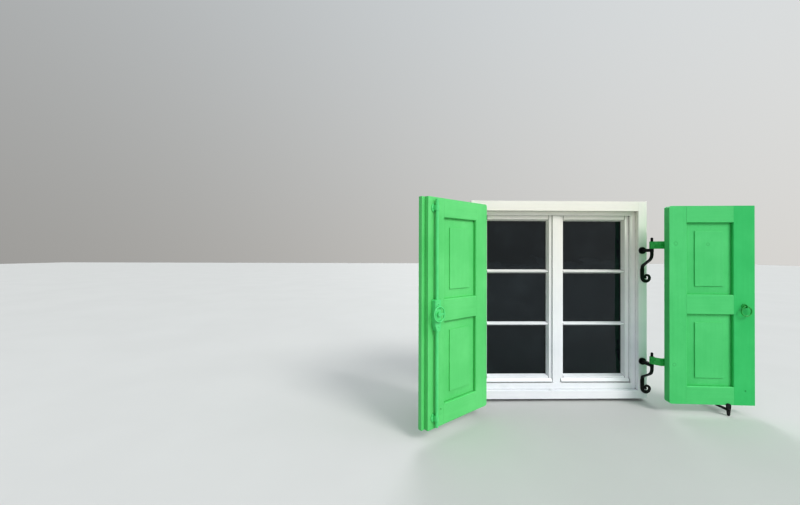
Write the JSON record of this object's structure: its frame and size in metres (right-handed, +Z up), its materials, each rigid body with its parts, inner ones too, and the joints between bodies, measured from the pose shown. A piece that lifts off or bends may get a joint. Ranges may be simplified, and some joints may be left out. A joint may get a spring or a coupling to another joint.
{
  "type": "window shutters",
  "caption": "Pair of panelled wooden window shutters on strap hinges, with espagnolette bolt, ring pull, shutter dog, frame and inward-opening glazed sashes.",
  "frame": {"origin": "centre of the underside of the window frame, halfway through its depth", "axes": "+X to the right seen from outside, +Y through the window towards the room, +Z up"},
  "size_m": [1.6993, 0.536, 1.096],
  "materials": {
    "green_wood": "satin green paint on planed softwood",
    "green_iron": "satin green paint on forged iron",
    "white_wood": "white paint on planed softwood",
    "white_iron": "white paint on pressed steel",
    "black_iron": "black paint on forged iron",
    "pane_glass": "clear window glass"
  },
  "bodies": {
    "frame": {"frame_jamb_left": "white_wood", "frame_jamb_right": "white_wood", "frame_head": "white_wood", "frame_sill": "white_wood", "frame_mullion": "white_wood", "pintle_upper_left": "black_iron", "pintle_lower_left": "black_iron", "pintle_upper_right": "black_iron", "pintle_lower_right": "black_iron", "pintle_screws": "black_iron", "sash_hinge_base_left": "white_iron", "sash_hinge_base_right": "white_iron", "dog_shank": "black_iron"},
    "leaf_left": {"left_hinge_stile": "green_wood", "left_meeting_stile": "green_wood", "left_top_rail": "green_wood", "left_mid_rail": "green_wood", "left_bottom_rail": "green_wood", "left_panel_upper": "green_wood", "left_panel_lower": "green_wood", "left_strap_upper": "green_iron", "left_strap_lower": "green_iron", "left_strap_screws": "green_iron", "keeper_upper": "green_iron", "keeper_lower": "green_iron", "bolt_case": "green_iron", "bolt_screws": "green_iron"},
    "upper_rod": {"upper_rod": "green_iron"},
    "lower_rod": {"lower_rod": "green_iron"},
    "bolt_crank": {"bolt_crank": "green_iron"},
    "bolt_ring": {"bolt_ring": "green_iron"},
    "leaf_right": {"right_hinge_stile": "green_wood", "right_meeting_stile": "green_wood", "right_top_rail": "green_wood", "right_mid_rail": "green_wood", "right_bottom_rail": "green_wood", "right_panel_upper": "green_wood", "right_panel_lower": "green_wood", "right_strap_upper": "green_iron", "right_strap_lower": "green_iron", "right_strap_screws": "green_iron", "pull_eye": "green_iron"},
    "pull_ring": {"pull_ring": "green_iron"},
    "dog_catch": {"dog_catch": "black_iron"},
    "sash_left": {"sash_left_hinge_stile": "white_wood", "sash_left_meeting_stile": "white_wood", "sash_left_top_rail": "white_wood", "sash_left_bottom_rail": "white_wood", "sash_left_bars": "white_wood", "sash_left_glass": "pane_glass", "sash_left_hinges": "white_iron"},
    "sash_right": {"sash_right_hinge_stile": "white_wood", "sash_right_meeting_stile": "white_wood", "sash_right_top_rail": "white_wood", "sash_right_bottom_rail": "white_wood", "sash_right_bars": "white_wood", "sash_right_glass": "pane_glass", "sash_right_hinges": "white_iron"}
  },
  "joints": [
    {"name": "leaf_left_swing", "type": "hinge", "parent": "frame", "child": "leaf_left", "pos_m": [-0.457, -0.118, 0], "axis": [0, 0, 1], "range_deg": [-37, 141.1]},
    {"name": "leaf_right_swing", "type": "hinge", "parent": "frame", "child": "leaf_right", "pos_m": [0.457, -0.118, 0], "axis": [0, 0, 1], "range_deg": [-175.8, 2.2]},
    {"name": "sash_left_swing", "type": "hinge", "parent": "frame", "child": "sash_left", "pos_m": [-0.43, 0.0505, 0], "axis": [0, 0, 1], "range_deg": [0, 100]},
    {"name": "sash_right_swing", "type": "hinge", "parent": "frame", "child": "sash_right", "pos_m": [0.43, 0.0505, 0], "axis": [0, 0, -1], "range_deg": [0, 100]},
    {"name": "bolt_turn", "type": "hinge", "parent": "leaf_left", "child": "bolt_crank", "pos_m": [-0.71376, -0.4511, 0.53], "axis": [0.628, -0.7782, 0], "range_deg": [0, 90]},
    {"name": "upper_rod_slide", "type": "slide", "parent": "leaf_left", "child": "upper_rod", "axis": [0, 0, 1], "range_m": [0, 0.016]},
    {"name": "lower_rod_slide", "type": "slide", "parent": "leaf_left", "child": "lower_rod", "axis": [0, 0, -1], "range_m": [0, 0.016]},
    {"name": "bolt_ring_swing", "type": "hinge", "parent": "bolt_crank", "child": "bolt_ring", "pos_m": [-0.68852, -0.4378, 0.53], "axis": [0, 0, -1], "range_deg": [-100, 0]},
    {"name": "pull_ring_swing", "type": "hinge", "parent": "leaf_right", "child": "pull_ring", "pos_m": [0.84749, -0.23491, 0.531], "axis": [-0.9973, 0.0732, 0], "range_deg": [-12, 100]},
    {"name": "dog_catch_turn", "type": "hinge", "parent": "frame", "child": "dog_catch", "pos_m": [0.77, -0.21633, 0.012], "axis": [0, -1, 0], "range_deg": [0, 90]}
  ],
  "couplings": [
    {"joint": "bolt_turn", "follows": "upper_rod_slide", "rad_per_m": 98.17},
    {"joint": "lower_rod_slide", "follows": "upper_rod_slide", "ratio": 1}
  ]
}
